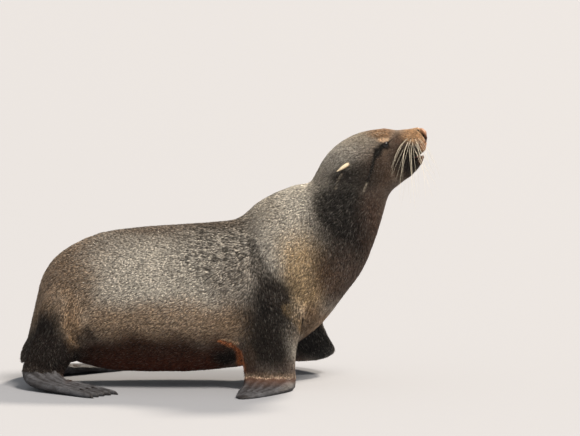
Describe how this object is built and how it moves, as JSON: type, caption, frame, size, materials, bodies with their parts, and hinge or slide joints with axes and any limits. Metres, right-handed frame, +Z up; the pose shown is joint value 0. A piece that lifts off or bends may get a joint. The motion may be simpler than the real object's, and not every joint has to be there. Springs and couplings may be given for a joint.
{
  "type": "cape fur seal",
  "caption": "Life-size still model of an adult female Cape fur seal, walking with its head raised and its left fore flipper lifted.",
  "frame": {"origin": "on the floor under the middle of the seal's bounding box", "axes": "+X towards the head, +Y to the seal's left, +Z up; the body's middle plane is parallel to XZ, 2 mm on the left of the origin"},
  "size_m": [1.103, 0.737, 0.6922],
  "materials": {
    "coat": "short dense grizzled fur, silvery grey-brown over dark brown",
    "bare_skin": "bare wrinkled blue-grey flipper skin, slightly moist",
    "ear_coat": "very short cream fur on a rolled ear",
    "nose_skin": "moist pebbled nose skin, ochre with dark nostrils",
    "eye": "wet, near-black brown eye"
  },
  "bodies": {
    "root": {"head": "coat", "lower_jaw": "coat", "nose": "nose_skin", "ear_left": "ear_coat", "ear_right": "ear_coat", "eye_left": "eye", "eye_right": "eye", "neck": "coat", "chest": "coat", "belly": "coat", "hips": "coat", "tail": "coat", "fore_limb_left": "coat", "fore_limb_right": "coat", "fore_flipper_left": "bare_skin", "fore_flipper_right": "bare_skin", "hind_limb_left": "coat", "hind_limb_right": "coat", "hind_flipper_left": "bare_skin", "hind_flipper_right": "bare_skin"}
  },
  "joints": []
}
